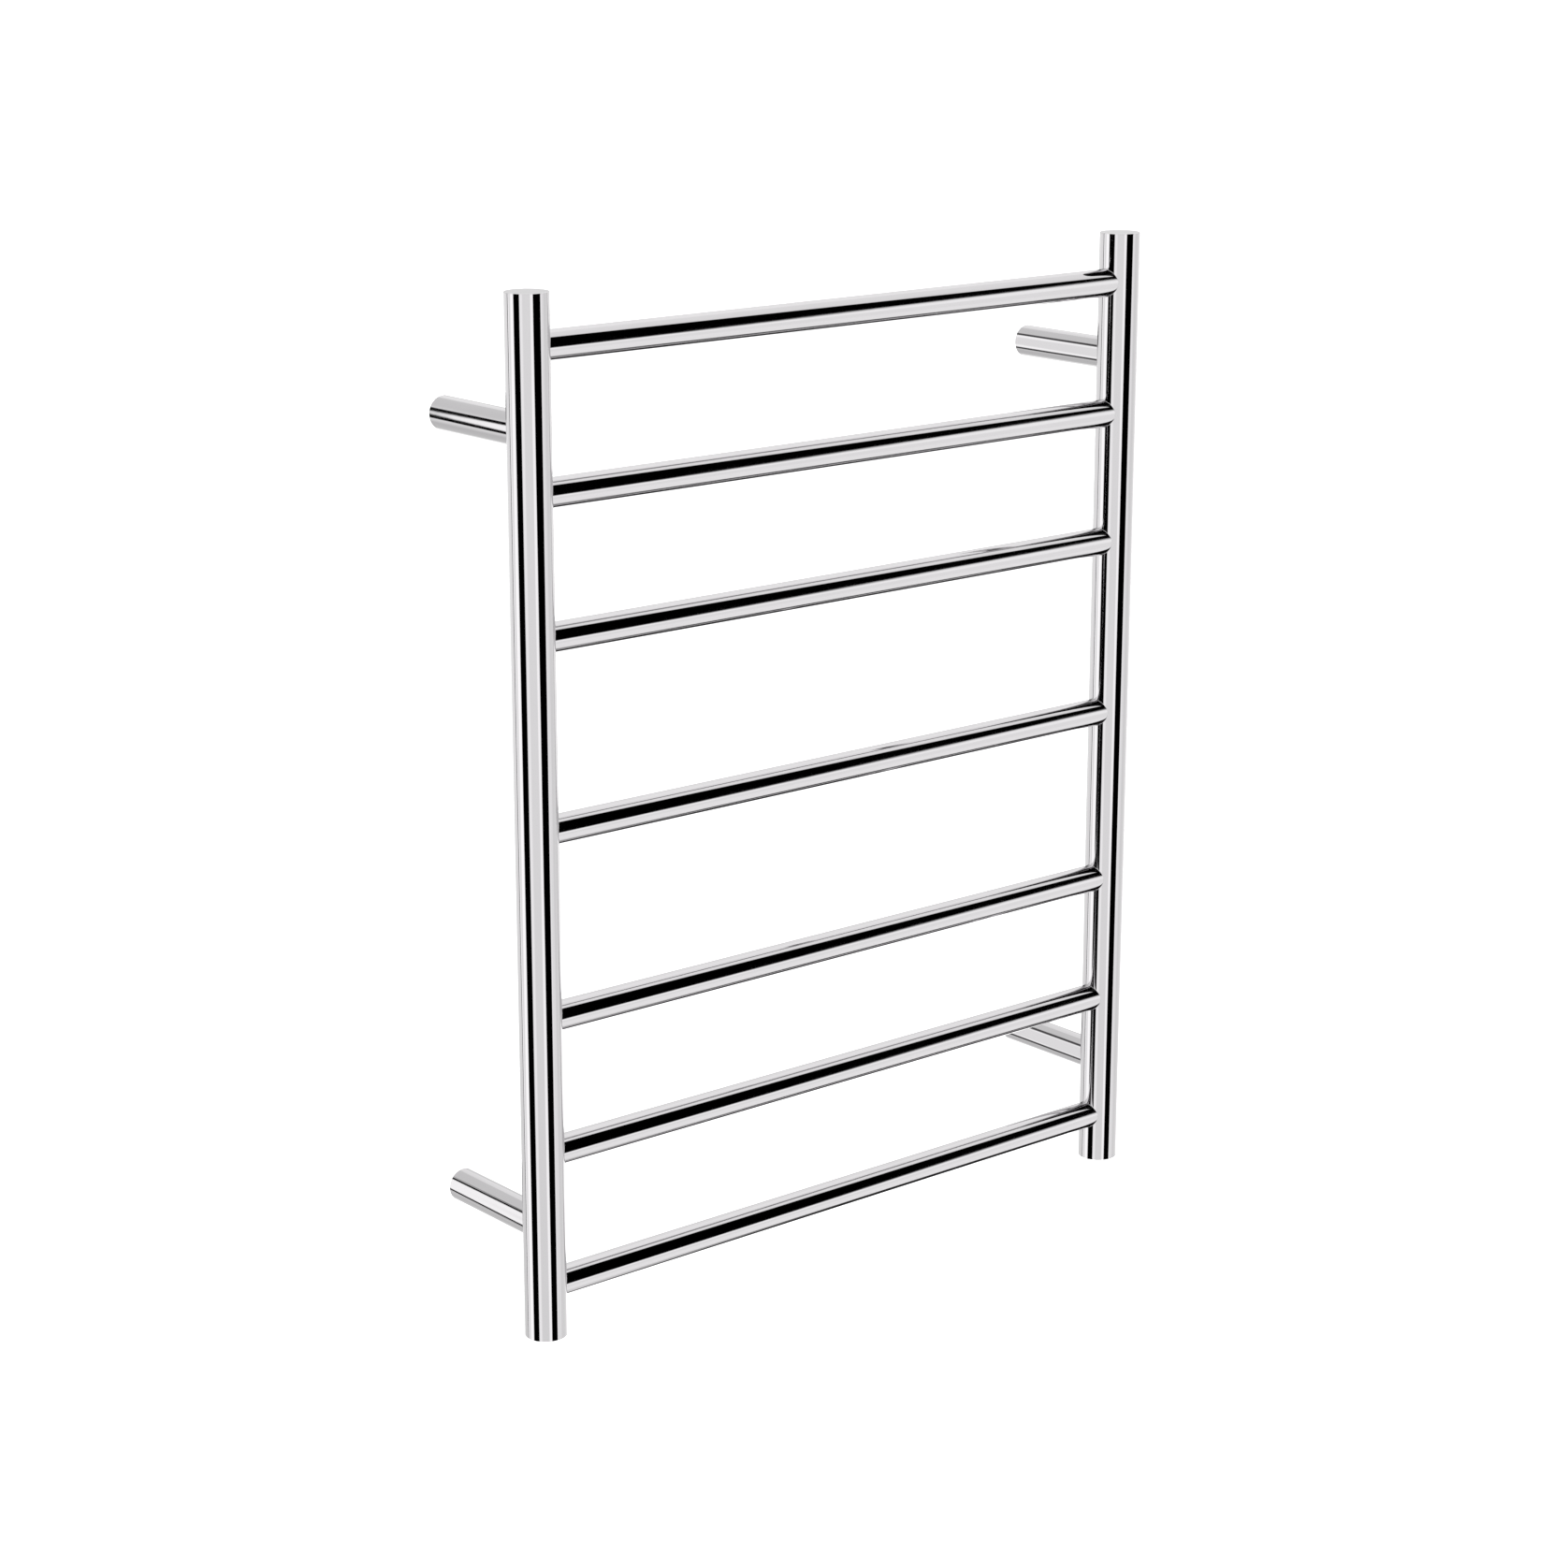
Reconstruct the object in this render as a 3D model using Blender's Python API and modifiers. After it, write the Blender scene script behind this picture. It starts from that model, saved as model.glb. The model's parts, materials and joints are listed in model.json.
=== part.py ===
"""Towel warmer rack: a wall-hung electric ladder rail made of polished stainless tube.

Run with: blender --background --python part.py

Metres, +Z up. The wall is the plane y = 0 and the room is on its -Y side. The origin is on the wall, at the
centre of the rectangle that the four wall brackets make. Left is -X, as seen from the room.
"""

import math

import bpy
from mathutils import Matrix, Vector

# ---- Driving dimensions --------------------------------------------------------------------------

UPRIGHT_RADIUS = 0.0160
UPRIGHT_WALL = 0.0012
UPRIGHT_LENGTH = 0.780
UPRIGHT_SPACING = 0.579  # centre to centre
BAR_RADIUS = 0.0111
BAR_WALL = 0.0010
BAR_END_MARGIN = 0.039  # from an upright's end to the nearest bar's axis
SHORT_PITCH = 0.1044  # between neighbours in the top three and in the bottom three bars
STANDOFF_RADIUS = 0.0127
STANDOFF_WALL = 0.0015
STANDOFF_SPACING = 0.595  # upper to lower, centre to centre
STANDOFF_FOOT = 0.0875  # from the uprights' lower ends to the lower standoffs' axes
FRAME_DEPTH = 0.105  # from the wall to the uprights' axes

BRACKET_RADIUS = 0.0109
BRACKET_LENGTH = 0.024
BRACKET_BORE = 0.0060
BRACKET_BASE = 0.0052  # thickness of the bracket's floor, against the wall
BRACKET_FLAT = 0.0081  # from the axis down to the flat that the grub screw presses on
BRACKET_FLAT_START = 0.009  # the first stretch from the wall stays fully round
WALL_SCREW_HOLE = 0.00275
ENTRY_SCREW_HOLE = 0.0015
ENTRY_SCREW_OFFSET = 0.0083
ENTRY_CABLE_HOLE = 0.0035

GRUB_RADIUS = 0.0017
GRUB_HOLE = 0.0020
GRUB_LENGTH = 0.0040
GRUB_FROM_WALL = 0.016
GRUB_SOCKET = 0.00115  # corner radius of the 2 mm hexagon
GRUB_SOCKET_DEPTH = 0.0022

CAP_FACE = 0.0020
CAP_SKIRT = 0.0015
CAP_DEPTH = 0.012

CABLE_RADIUS = 0.0018
CABLE_HOLE = 0.0070  # bored through the uprights' walls, under each bar's end and each cable standoff
CABLE_BEND = 0.0080
LEAD_RADIUS = 0.0024
EARTH_WIRE_RADIUS = 0.0009
SPLICE_RADIUS = 0.0045
END_SEAL_RADIUS = 0.0026

GAP = 0.0003  # between pieces that touch
UPRIGHT_SIDES = 40
TUBE_SIDES = 32
SMALL_SIDES = 24
HOLE_SIDES = 16
SHARP_ANGLE = math.radians(35)

# ---- Dimensions that follow ----------------------------------------------------------------------

HALF_WIDTH = UPRIGHT_SPACING / 2
HALF_HEIGHT = STANDOFF_SPACING / 2
FRAME_Y = -FRAME_DEPTH
UPRIGHT_BOTTOM = -HALF_HEIGHT - STANDOFF_FOOT
UPRIGHT_TOP = UPRIGHT_BOTTOM + UPRIGHT_LENGTH
LONG_PITCH = (UPRIGHT_LENGTH - 2 * BAR_END_MARGIN - 4 * SHORT_PITCH) / 2
BAR_PITCHES = (SHORT_PITCH, SHORT_PITCH, LONG_PITCH, LONG_PITCH, SHORT_PITCH, SHORT_PITCH)
BAR_HEIGHTS = [UPRIGHT_TOP - BAR_END_MARGIN - sum(BAR_PITCHES[:i]) for i in range(len(BAR_PITCHES) + 1)]
UPRIGHT_BORE = UPRIGHT_RADIUS - UPRIGHT_WALL
BAR_BORE = BAR_RADIUS - BAR_WALL
STANDOFF_BORE = STANDOFF_RADIUS - STANDOFF_WALL
SIDES = {"left": -HALF_WIDTH, "right": HALF_WIDTH}
LEVELS = {"upper": HALF_HEIGHT, "lower": -HALF_HEIGHT}
CORNERS = [(level, side) for level in LEVELS for side in SIDES]
ENTRY_CORNER = ("lower", "left")  # the standoff that the cold lead goes through
TO_ROOM = Vector((0, -1, 0))


# ---- Scene, collections and materials ------------------------------------------------------------


def clear_scene():
    for obj in list(bpy.data.objects):
        bpy.data.objects.remove(obj)


def new_collection(name):
    collection = bpy.data.collections.new(name)
    bpy.context.scene.collection.children.link(collection)
    return collection


def new_material(name, colour, roughness, metallic):
    material = bpy.data.materials.new(name)
    material.use_nodes = True
    shader = material.node_tree.nodes["Principled BSDF"]
    shader.inputs["Base Color"].default_value = (*colour, 1)
    shader.inputs["Roughness"].default_value = roughness
    shader.inputs["Metallic"].default_value = metallic
    return material


clear_scene()
RACK = new_collection("towel_warmer_rack")
CUTTERS = new_collection("cutters")
BAR_HOLES = new_collection("bar_holes")
POLISHED_STEEL = new_material("polished_steel", (0.78, 0.78, 0.80), 0.04, 1.0)
MACHINED_STEEL = new_material("machined_steel", (0.62, 0.62, 0.64), 0.30, 1.0)
SCREW_STEEL = new_material("screw_steel", (0.45, 0.45, 0.47), 0.28, 1.0)
TINNED_COPPER = new_material("tinned_copper", (0.70, 0.68, 0.64), 0.35, 1.0)
BLACK_RUBBER = new_material("black_rubber", (0.02, 0.02, 0.02), 0.60, 0.0)
RED_SILICONE = new_material("red_silicone", (0.42, 0.05, 0.03), 0.50, 0.0)
BLACK_SLEEVE = new_material("black_sleeve", (0.03, 0.03, 0.03), 0.45, 0.0)
WHITE_SHEATH = new_material("white_sheath", (0.80, 0.80, 0.78), 0.45, 0.0)
EARTH_GREEN = new_material("earth_green", (0.12, 0.42, 0.06), 0.45, 0.0)


# ---- Shapes --------------------------------------------------------------------------------------


def direction_matrix(origin, direction):
    """A frame at origin whose local +Z points along direction."""
    turn = Vector(direction).to_track_quat("Z", "Y").to_matrix().to_4x4()
    return Matrix.Translation(Vector(origin)) @ turn


def turned(name, profile, sides, material, origin, direction=(0, 0, 1)):
    """A profile of (radius, height) points swept round its own Z.

    One that doesn't touch the axis is a closed loop. It runs down its outer side first, so that the faces point
    outwards.
    """
    on_axis = profile[0][0] == 0
    edges = [(i, i + 1) for i in range(len(profile) - 1)]
    if not on_axis:
        edges.append((len(profile) - 1, 0))
    mesh = bpy.data.meshes.new(name)
    mesh.from_pydata([(radius, 0, height) for radius, height in profile], edges, [])
    mesh.materials.append(material)
    obj = bpy.data.objects.new(name, mesh)
    RACK.objects.link(obj)
    obj.matrix_world = direction_matrix(origin, direction)
    screw = obj.modifiers.new("turn", "SCREW")
    screw.steps = sides
    screw.render_steps = sides
    screw.use_merge_vertices = True
    screw.merge_threshold = 0.00001
    screw.use_smooth_shade = False
    return obj


def tube_profile(radius, bore, low, high):
    return [(radius, high), (radius, low), (bore, low), (bore, high)]


def as_cutter(obj, collection):
    for owner in obj.users_collection:
        owner.objects.unlink(obj)
    collection.objects.link(obj)
    obj.hide_render = True
    obj.display_type = "WIRE"
    return obj


def cylinder_cutter(name, radius, sides, start, end, collection=CUTTERS):
    """A cylinder from start to end, kept out of the model."""
    start, end = Vector(start), Vector(end)
    bpy.ops.mesh.primitive_cylinder_add(vertices=sides, radius=radius, depth=(end - start).length)
    obj = bpy.context.active_object
    obj.name = name
    obj.matrix_world = direction_matrix((start + end) / 2, end - start)
    return as_cutter(obj, collection)


def box_cutter(name, low, high):
    low, high = Vector(low), Vector(high)
    bpy.ops.mesh.primitive_cube_add(size=1, location=(low + high) / 2, scale=high - low)
    obj = bpy.context.active_object
    obj.name = name
    bpy.ops.object.transform_apply(location=False, rotation=False, scale=True)
    return as_cutter(obj, CUTTERS)


def boolean(obj, other, operation="DIFFERENCE"):
    modifier = obj.modifiers.new(other.name, "BOOLEAN")
    modifier.operation = operation
    modifier.object = other


def boolean_collection(obj, collection):
    modifier = obj.modifiers.new(collection.name, "BOOLEAN")
    modifier.operand_type = "COLLECTION"
    modifier.collection = collection


def filleted(points, radius, steps):
    """The route through points, each corner rounded by an arc and a slight one by a single chord."""
    points = [Vector(p) for p in points]
    route = [points[0]]
    for before, corner, after in zip(points, points[1:], points[2:]):
        inward, outward = (before - corner).normalized(), (after - corner).normalized()
        turn = math.pi - inward.angle(outward)
        reach = radius * math.tan(turn / 2)
        centre = corner + (inward + outward).normalized() * radius / math.cos(turn / 2)
        start, end = corner + inward * reach - centre, corner + outward * reach - centre
        chords = steps if turn > math.radians(45) else 1
        for i in range(chords + 1):
            share = i / chords
            weights = math.sin((1 - share) * turn), math.sin(share * turn)
            route.append(centre + (start * weights[0] + end * weights[1]) / math.sin(turn))
    return [*route, points[-1]]


def cable(name, points, radius, material, bend=CABLE_BEND):
    """A round cable or wire with flat ends, along points with rounded corners."""
    route = filleted(points, bend, 5)
    curve = bpy.data.curves.new(name, "CURVE")
    curve.dimensions = "3D"
    curve.bevel_depth = radius
    curve.bevel_resolution = 2
    curve.use_fill_caps = True
    spline = curve.splines.new("POLY")
    spline.points.add(len(route) - 1)
    for point, place in zip(spline.points, route):
        point.co = (*place, 1)
    curve.materials.append(material)
    obj = bpy.data.objects.new(name, curve)
    RACK.objects.link(obj)
    return obj


def shaded_mesh(obj):
    """The object's shape with its modifiers applied, shaded smooth except across its edges."""
    graph = bpy.context.evaluated_depsgraph_get()
    mesh = bpy.data.meshes.new_from_object(obj.evaluated_get(graph))
    mesh.shade_smooth()
    mesh.set_sharp_from_angle(angle=SHARP_ANGLE)
    return mesh


def apply_modifiers(objects):
    """Turns each object's modifiers into mesh. The meshes are all made first, since some cut others."""
    cut = [obj for obj in objects if obj.modifiers]
    meshes = [shaded_mesh(obj) for obj in cut]
    for obj, mesh in zip(cut, meshes):
        obj.modifiers.clear()
        obj.data = mesh


# ---- The ladder: uprights, bars, standoffs and caps ----------------------------------------------


def upright_envelope(side):
    """The space that an upright fills, with the gap that tubes ending on it keep."""
    x = SIDES[side]
    low, high = (x, FRAME_Y, UPRIGHT_BOTTOM), (x, FRAME_Y, UPRIGHT_TOP)
    return cylinder_cutter(f"{side}_envelope", UPRIGHT_RADIUS + GAP, UPRIGHT_SIDES, low, high)


def make_uprights():
    """Two tubes, bored on their inner sides where the bars meet them so that the heating cable can pass."""
    for number, height in enumerate(BAR_HEIGHTS, 1):
        left, right = (SIDES["left"], FRAME_Y, height), (SIDES["right"], FRAME_Y, height)
        cylinder_cutter(f"bar_hole_{number}", CABLE_HOLE, HOLE_SIDES, left, right, BAR_HOLES)
    made = {}
    for side, x in SIDES.items():
        profile = tube_profile(UPRIGHT_RADIUS, UPRIGHT_BORE, UPRIGHT_BOTTOM, UPRIGHT_TOP)
        obj = turned(f"{side}_upright", profile, UPRIGHT_SIDES, POLISHED_STEEL, (x, FRAME_Y, 0))
        boolean_collection(obj, BAR_HOLES)
        made[side] = obj
    level, side = ENTRY_CORNER
    start = (SIDES[side], FRAME_Y, LEVELS[level])
    end = (SIDES[side], FRAME_Y + UPRIGHT_RADIUS + CABLE_HOLE, LEVELS[level])
    boolean(made[side], cylinder_cutter("lead_hole", CABLE_HOLE, HOLE_SIDES, start, end))
    return list(made.values())


def make_crossbars(envelopes):
    """Seven tubes between the uprights' axes, their ends cut to saddle the uprights."""
    made = []
    profile = tube_profile(BAR_RADIUS, BAR_BORE, -HALF_WIDTH, HALF_WIDTH)
    for number, height in enumerate(BAR_HEIGHTS, 1):
        origin = (0, FRAME_Y, height)
        obj = turned(f"crossbar_{number}", profile, TUBE_SIDES, POLISHED_STEEL, origin, (1, 0, 0))
        for envelope in envelopes.values():
            boolean(obj, envelope)
        made.append(obj)
    return made


def make_standoffs(envelopes):
    """Four tubes from the wall to the uprights' backs, each with a hole below for its grub screw."""
    made = []
    profile = tube_profile(STANDOFF_RADIUS, STANDOFF_BORE, 0, FRAME_DEPTH)
    for level, side in CORNERS:
        x, z = SIDES[side], LEVELS[level]
        obj = turned(f"standoff_{level}_{side}", profile, TUBE_SIDES, POLISHED_STEEL, (x, 0, z), TO_ROOM)
        boolean(obj, envelopes[side])
        hole_start = (x, -GRUB_FROM_WALL, z - BRACKET_FLAT)
        hole_end = (x, -GRUB_FROM_WALL, z - STANDOFF_RADIUS - GRUB_HOLE)
        name = f"grub_hole_{level}_{side}"
        boolean(obj, cylinder_cutter(name, GRUB_HOLE, HOLE_SIDES, hole_start, hole_end))
        made.append(obj)
    return made


def cap_profile(earthed):
    """A cup that plugs a tube's end, its face at height 0. The earthed cap has a tapped boss inside."""
    outer = UPRIGHT_BORE - GAP
    inner = outer - CAP_SKIRT
    chamfer = 0.0004
    rim = [(0, 0), (outer - chamfer, 0), (outer, -chamfer), (outer, -CAP_DEPTH), (inner, -CAP_DEPTH)]
    if not earthed:
        return [*rim, (inner, -CAP_FACE), (0, -CAP_FACE)]
    boss, tapped, boss_end, hole_end = 0.0040, 0.0020, -0.0080, -0.0030
    return [*rim, (inner, -CAP_FACE), (boss, -CAP_FACE), (boss, boss_end), (tapped, boss_end),
            (tapped, hole_end), (0, hole_end)]


def make_caps():
    made = []
    for side, x in SIDES.items():
        for end, height, direction in (("top", UPRIGHT_TOP, 1), ("bottom", UPRIGHT_BOTTOM, -1)):
            profile = cap_profile(earthed=(end, side) == ("bottom", "left"))
            origin = (x, FRAME_Y, height)
            name, along = f"{end}_cap_{side}", (0, 0, direction)
            made.append(turned(name, profile, TUBE_SIDES, POLISHED_STEEL, origin, along))
    return made


# ---- The wall side: brackets, grommet and grub screws --------------------------------------------


def bracket_outline():
    """The bracket's outside, from the front lip of its bore round to the wall."""
    chamfer = 0.0007
    return [
        (BRACKET_BORE, BRACKET_LENGTH),
        (BRACKET_RADIUS - chamfer, BRACKET_LENGTH),
        (BRACKET_RADIUS, BRACKET_LENGTH - chamfer),
        (BRACKET_RADIUS, 0),
    ]


def plain_bracket_profile():
    """A cup with one countersunk hole for a 5 mm wall screw."""
    countersink_start, countersink = 0.0030, 0.0050
    return [
        *bracket_outline(),
        (WALL_SCREW_HOLE, 0),
        (WALL_SCREW_HOLE, countersink_start),
        (countersink, BRACKET_BASE),
        (BRACKET_BORE, BRACKET_BASE),
    ]


def entry_bracket_profile():
    """A cup with a cable hole in its floor, recessed at the wall for the grommet's rear flange."""
    recess, recess_depth = 0.0053, 0.0013
    return [
        *bracket_outline(),
        (recess, 0),
        (recess, recess_depth),
        (ENTRY_CABLE_HOLE, recess_depth),
        (ENTRY_CABLE_HOLE, BRACKET_BASE),
        (BRACKET_BORE, BRACKET_BASE),
    ]


def make_brackets():
    """Four bosses that stay on the wall. Each has a flat below, which its standoff's grub screw bears on."""
    made = []
    overrun = 0.002
    for level, side in CORNERS:
        x, z = SIDES[side], LEVELS[level]
        entry = (level, side) == ENTRY_CORNER
        name = "cable_entry_bracket" if entry else f"wall_bracket_{level}_{side}"
        profile = entry_bracket_profile() if entry else plain_bracket_profile()
        obj = turned(name, profile, TUBE_SIDES, MACHINED_STEEL, (x, 0, z), TO_ROOM)
        low = (x - BRACKET_RADIUS, -BRACKET_LENGTH - overrun, z - BRACKET_RADIUS - overrun)
        high = (x + BRACKET_RADIUS, -BRACKET_FLAT_START, z - BRACKET_FLAT)
        boolean(obj, box_cutter(f"flat_{level}_{side}", low, high))
        for offset in (-ENTRY_SCREW_OFFSET, ENTRY_SCREW_OFFSET) if entry else ():
            start, end = (x + offset, overrun, z), (x + offset, -BRACKET_LENGTH - overrun, z)
            hole = f"entry_screw_hole_{offset:+.4f}"
            boolean(obj, cylinder_cutter(hole, ENTRY_SCREW_HOLE, HOLE_SIDES, start, end))
        made.append(obj)
    return made


def make_grommet():
    """A flanged rubber bush in the entry bracket's floor, round the cold lead."""
    bore, neck, flange, flange_thickness = 0.0028, 0.0032, 0.0050, 0.0010
    front = BRACKET_BASE + GAP
    profile = [
        (bore, front + flange_thickness),
        (flange, front + flange_thickness),
        (flange, front),
        (neck, front),
        (neck, flange_thickness),
        (flange, flange_thickness),
        (flange, 0),
        (bore, 0),
    ]
    level, side = ENTRY_CORNER
    origin = (SIDES[side], 0, LEVELS[level])
    return turned("cable_grommet", profile, SMALL_SIDES, BLACK_RUBBER, origin, TO_ROOM)


def grub_screw_mesh():
    """A socket set screw along +Z, from its hexagon socket at 0 up to its cup point."""
    cup_rim, cup_depth, cone, chamfer = 0.0009, 0.0003, 0.0006, 0.0003
    profile = [
        (0, GRUB_LENGTH - cup_depth),
        (cup_rim, GRUB_LENGTH),
        (GRUB_RADIUS, GRUB_LENGTH - cone),
        (GRUB_RADIUS, chamfer),
        (GRUB_RADIUS - chamfer, 0),
        (0, 0),
    ]
    pattern = turned("grub_screw_pattern", profile, HOLE_SIDES, SCREW_STEEL, (0, 0, 0))
    start, end = (0, 0, -GRUB_SOCKET_DEPTH), (0, 0, GRUB_SOCKET_DEPTH)
    boolean(pattern, cylinder_cutter("hexagon_socket", GRUB_SOCKET, 6, start, end))
    mesh = shaded_mesh(pattern)
    bpy.data.objects.remove(pattern)
    return mesh


def make_grub_screws():
    """One in each standoff's underside, its point a gap below the bracket's flat."""
    mesh = grub_screw_mesh()
    made = []
    for level, side in CORNERS:
        obj = bpy.data.objects.new(f"grub_screw_{level}_{side}", mesh)
        RACK.objects.link(obj)
        obj.location = (SIDES[side], -GRUB_FROM_WALL, LEVELS[level] - BRACKET_FLAT - GAP - GRUB_LENGTH)
        made.append(obj)
    return made


# ---- The heating circuit -------------------------------------------------------------------------

RISER_OFFSET = 0.006  # the cable's first run up the left upright, outward of its axis
LOOP_OFFSET = 0.005  # the cable's turns from bar to bar, inward of the axis
CABLE_AT_HOLE = 0.0045  # below the bar's axis
CABLE_IN_BAR = 0.0079
SAG_START, SAG_END = 0.022, 0.050  # from the upright's axis
SPLICE_LOW, SPLICE_HIGH = -0.275, -0.225
END_SEAL_LOW, END_SEAL_HIGH = -0.325, -0.300
EARTH_REACH = 0.0080  # from the earth screw to the lug's barrel
EARTH_ANGLE = math.radians(199)
LUG_LOW, LUG_THICKNESS = UPRIGHT_BOTTOM + 0.0083, 0.0008
BARREL_TOP = LUG_LOW + 0.005


def heating_cable_points():
    """Up the left upright to the top bar, then through every bar in turn, down to the bottom one."""
    left, right = SIDES["left"], SIDES["right"]
    points = [(left - RISER_OFFSET, FRAME_Y, SPLICE_HIGH + GAP)]
    turn_from = left - RISER_OFFSET
    heading = 1
    for height in BAR_HEIGHTS:
        at_hole, in_bar = height - CABLE_AT_HOLE, height - CABLE_IN_BAR
        turn_to = (right - LOOP_OFFSET) if heading > 0 else (left + LOOP_OFFSET)
        near, far = (left, right) if heading > 0 else (right, left)
        points += [
            (turn_from, FRAME_Y, at_hole),
            (near + heading * SAG_START, FRAME_Y, at_hole),
            (near + heading * SAG_END, FRAME_Y, in_bar),
            (far - heading * SAG_END, FRAME_Y, in_bar),
            (far - heading * SAG_START, FRAME_Y, at_hole),
            (turn_to, FRAME_Y, at_hole),
        ]
        turn_from, heading = turn_to, -heading
    return [*points, (turn_from, FRAME_Y, END_SEAL_LOW - GAP)]


def sleeve_profile(radius, length, taper):
    """A heat-shrunk sleeve whose ends are drawn in a little."""
    drawn = radius * 0.93
    return [(0, length), (drawn, length), (radius, length - taper), (radius, taper), (drawn, 0), (0, 0)]


def make_heating_circuit():
    left, right = SIDES["left"], SIDES["right"]
    lead_y = FRAME_Y + 0.0016
    lead_z = -HALF_HEIGHT
    lead_points = [
        (left, -GAP, lead_z),
        (left, -0.060, lead_z),
        (left - RISER_OFFSET, lead_y, lead_z),
        (left - RISER_OFFSET, lead_y, SPLICE_LOW - GAP),
    ]
    splice = sleeve_profile(SPLICE_RADIUS, SPLICE_HIGH - SPLICE_LOW, 0.003)
    end_seal = sleeve_profile(END_SEAL_RADIUS, END_SEAL_HIGH - END_SEAL_LOW, 0.002)
    riser, loop = left - RISER_OFFSET, right - LOOP_OFFSET
    return [
        cable("heating_cable", heating_cable_points(), CABLE_RADIUS, RED_SILICONE),
        cable("cold_lead", lead_points, LEAD_RADIUS, WHITE_SHEATH),
        turned("cable_splice", splice, HOLE_SIDES, BLACK_SLEEVE, (riser, FRAME_Y, SPLICE_LOW)),
        turned("cable_end_seal", end_seal, HOLE_SIDES, BLACK_SLEEVE, (loop, FRAME_Y, END_SEAL_LOW)),
    ]


def make_earth_wire():
    """From the lug's barrel, on the left upright's bottom cap, up to the splice."""
    x = SIDES["left"] + EARTH_REACH * math.cos(EARTH_ANGLE)
    y = FRAME_Y + EARTH_REACH * math.sin(EARTH_ANGLE)
    points = [(x, y, BARREL_TOP + GAP), (x, y, SPLICE_LOW - GAP)]
    return cable("earth_wire", points, EARTH_WIRE_RADIUS, EARTH_GREEN)


def make_earth_lug():
    """A ring terminal: a flat ring and tongue, with an upright crimp barrel at the tongue's end."""
    ring, hole, barrel, tongue_width = 0.0038, 0.0021, 0.0015, 0.0024
    x, y = SIDES["left"], FRAME_Y
    profile = tube_profile(ring, hole, 0, LUG_THICKNESS)
    lug = turned("earth_lug", profile, SMALL_SIDES, TINNED_COPPER, (x, y, LUG_LOW))
    lug.rotation_euler = (0, 0, EARTH_ANGLE)
    inset = 0.0001  # keeps the tongue's faces off the ring's own
    tongue = box_cutter(
        "lug_tongue",
        (ring - 0.0010, -tongue_width / 2, inset),
        (EARTH_REACH, tongue_width / 2, LUG_THICKNESS - inset),
    )
    tongue.matrix_world = Matrix.Translation((x, y, LUG_LOW)) @ Matrix.Rotation(EARTH_ANGLE, 4, "Z") @ (
        tongue.matrix_world
    )
    foot = (x + EARTH_REACH * math.cos(EARTH_ANGLE), y + EARTH_REACH * math.sin(EARTH_ANGLE), LUG_LOW)
    crimp = cylinder_cutter("lug_barrel", barrel, HOLE_SIDES, foot, (foot[0], foot[1], BARREL_TOP))
    boolean(lug, tongue, "UNION")
    boolean(lug, crimp, "UNION")
    return lug


def make_earth_screw():
    """A pan-head M4 screw, down through the lug into the cap's boss."""
    head, head_height, head_edge, shank, shank_length = 0.0034, 0.0022, 0.0006, 0.0017, 0.0045
    profile = [
        (0, head_height),
        (head - head_edge, head_height),
        (head, head_height - head_edge),
        (head, 0),
        (shank, 0),
        (shank, -shank_length),
        (0, -shank_length),
    ]
    origin = (SIDES["left"], FRAME_Y, LUG_LOW + LUG_THICKNESS + GAP)
    return turned("earth_screw", profile, HOLE_SIDES, SCREW_STEEL, origin)


# ---- Assembly ------------------------------------------------------------------------------------


def joint_empty(name, location, parent=None):
    """An empty that a moving body's pieces hang from, on its joint's axis."""
    empty = bpy.data.objects.new(name, None)
    empty.empty_display_size = 0.03
    RACK.objects.link(empty)
    empty.location = location
    if parent is not None:
        hang(parent, [empty])
    return empty


def hang(parent, children):
    """Parents the children and leaves them where they are."""
    bpy.context.view_layer.update()
    for child in children:
        child.parent = parent
        child.matrix_parent_inverse = parent.matrix_world.inverted()


def build():
    envelopes = {side: upright_envelope(side) for side in SIDES}
    ladder = [*make_uprights(), *make_crossbars(envelopes), *make_standoffs(envelopes), *make_caps()]
    circuit = [*make_heating_circuit(), make_earth_wire(), make_earth_lug(), make_earth_screw()]
    wall_side = [*make_brackets(), make_grommet()]
    grub_screws = make_grub_screws()
    apply_modifiers([*ladder, *circuit, *wall_side])
    wall_mounts = joint_empty("wall_mounts", (0, 0, 0))
    rail = joint_empty("rail", (0, FRAME_Y, 0), wall_mounts)
    hang(wall_mounts, wall_side)
    hang(rail, [*ladder, *circuit, *grub_screws])


build()
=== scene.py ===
"""The looks of the towel warmer rack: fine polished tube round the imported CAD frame, in a pale studio.

Metres, in the frame's own axes: +Z up, the wall at y = 0, the room on its -Y side. Every piece stands
for one CAD node, rides on that node's body and takes its place and outer size from the node's box.
"""

import json
import math

import bmesh
import bpy
from mathutils import Matrix, Vector


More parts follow.
